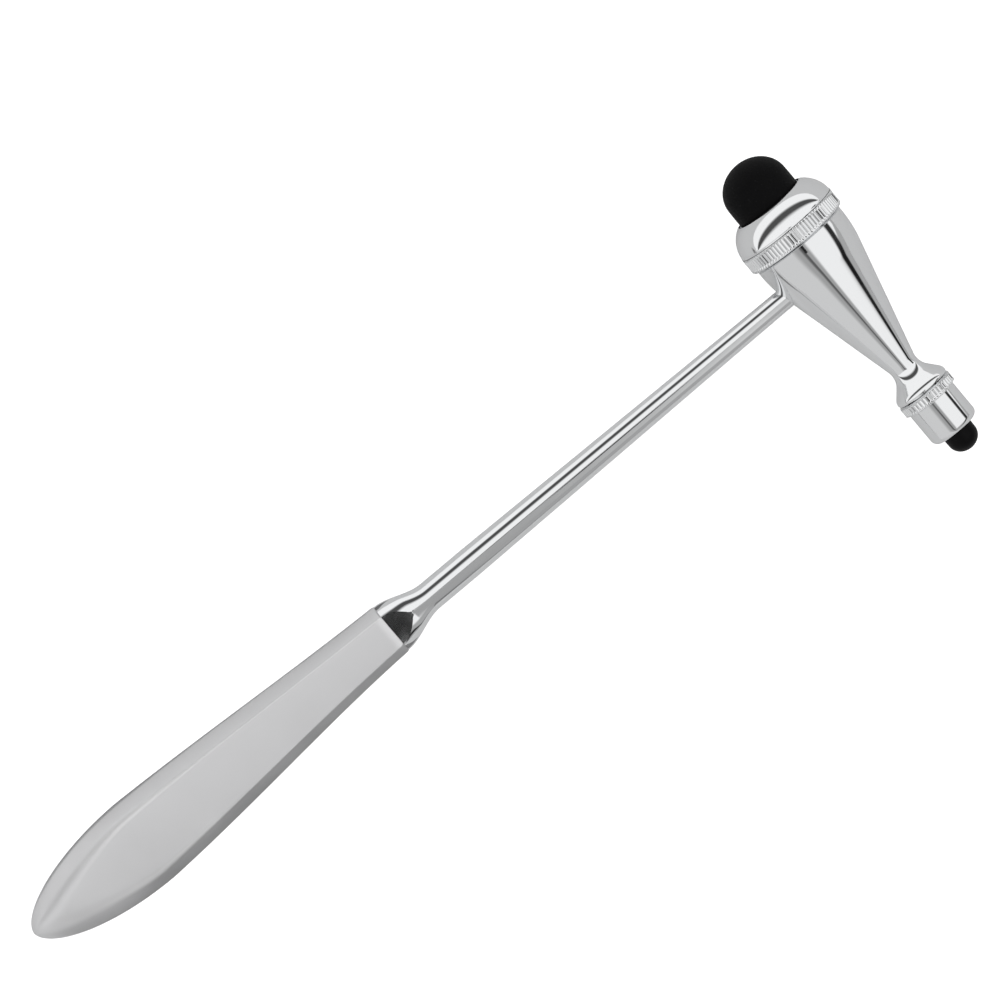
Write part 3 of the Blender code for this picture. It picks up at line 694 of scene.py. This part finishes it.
# ---- Mallets ---------------------------------------------------------------------------------------
# Moulded black rubber with a slightly full side and a domed end. The moulded skin is matt, with specks
# of bloom and dust on it.
def black_rubber(name, dullness):
    """Moulded black rubber: nearly black and matt, with a fine grain and a few dusty specks."""
    GRAIN = 0.35 * MM
    GRAIN_DEPTH = 0.03 * MM
    SPECK = 0.5 * MM
    made = bpy.data.materials.new(name)
    made.use_nodes = True
    tree = made.node_tree
    shader = tree.nodes["Principled BSDF"]
    shader.inputs["IOR"].default_value = 1.52
    shader.inputs["Specular IOR Level"].default_value = 0.09
    place_on = add_node(tree, "ShaderNodeTexCoord").outputs["Object"]
    grain = add_node(tree, "ShaderNodeTexNoise", {"Vector": place_on, "Scale": 1 / GRAIN, "Detail": 4.0})
    specks = add_node(tree, "ShaderNodeTexNoise", {"Vector": place_on, "Scale": 1 / SPECK, "Detail": 1.0})
    dusty = ramp(tree, specks.outputs[0], 0.68, 0.78, 0.0, 0.5)
    skin = {"Factor": dusty, "A": linear("060607"), "B": linear("28282A")}
    tone = add_node(tree, "ShaderNodeMix", skin, data_type="RGBA")
    tree.links.new(tone.outputs["Result"], shader.inputs["Base Color"])
    roughness = ramp(tree, grain.outputs[0], 0.3, 0.7, dullness - 0.06, dullness + 0.08)
    tree.links.new(roughness, shader.inputs["Roughness"])
    bump = add_node(
        tree, "ShaderNodeBump", {"Height": grain.outputs[0], "Strength": 0.4, "Distance": GRAIN_DEPTH}
    )
    tree.links.new(bump.outputs[0], shader.inputs["Normal"])
    return made


FOOT_FLANGE = 2.4 * MM
FOOT_ROUND = 0.25 * MM
SIDE_START = 0.2 * MM  # above the cap's mouth
SIDE_RINGS = 9
DOME_RINGS = 32


def mallet(name, to, material, body, base, foot, radius, mouth_top, apex, dome, fullness):
    """fullness is how far the side swells between the cap's mouth and the dome."""
    side_top = apex - dome
    outline = [(0, base), (foot, base), (foot, base + FOOT_FLANGE), (radius, base + FOOT_FLANGE)]
    outline = softened(outline + [(radius, mouth_top)], FOOT_ROUND)
    outline.append((radius, mouth_top + SIDE_START))
    for step in range(1, SIDE_RINGS):
        share = step / SIDE_RINGS
        swell = fullness * math.sin(math.pi * share)
        outline.append((radius + swell, mouth_top + (side_top - mouth_top) * share))
    for step in range(DOME_RINGS + 1):
        angle = math.pi / 2 * step / DOME_RINGS
        across = radius * math.cos(angle) if step < DOME_RINGS else 0
        outline.append((across, side_top + dome * math.sin(angle)))
    place(name, turned(outline, 128), to, material, body, body)


mallet(
    "large_rubber", large_end, black_rubber("moulded_rubber_large", 0.62), "large_mallet",
    base=13.3 * MM, foot=9.6 * MM, radius=8.05 * MM, mouth_top=18.6 * MM, apex=30.08 * MM,
    dome=7.08 * MM, fullness=0.04 * MM,
)
mallet(
    "small_rubber", small_end, black_rubber("moulded_rubber_small", 0.45), "small_mallet",
    base=41.8 * MM, foot=4.5 * MM, radius=3.72 * MM, mouth_top=47.5 * MM, apex=53.18 * MM,
    dome=3.3 * MM, fullness=0.03 * MM,
)


# ---- Washers ---------------------------------------------------------------------------------------
# Plain turned brass, hidden behind each mallet's foot. They keep their CAD shape.
brass = bpy.data.materials.new("turned_brass")
brass.use_nodes = True
tree = brass.node_tree
shader = tree.nodes["Principled BSDF"]
shader.inputs["Base Color"].default_value = linear("C9A25A")
shader.inputs["Metallic"].default_value = 1.0
place_on = add_node(tree, "ShaderNodeTexCoord").outputs["Object"]
tarnish = add_node(tree, "ShaderNodeTexNoise", {"Vector": place_on, "Scale": 1 / (2 * MM), "Detail": 4.0})
tree.links.new(ramp(tree, tarnish.outputs[0], 0.3, 0.7, 0.25, 0.42), shader.inputs["Roughness"])
for name in ("large_washer", "small_washer"):
    for material_slot in frame["nodes"][name].material_slots:
        material_slot.material = brass
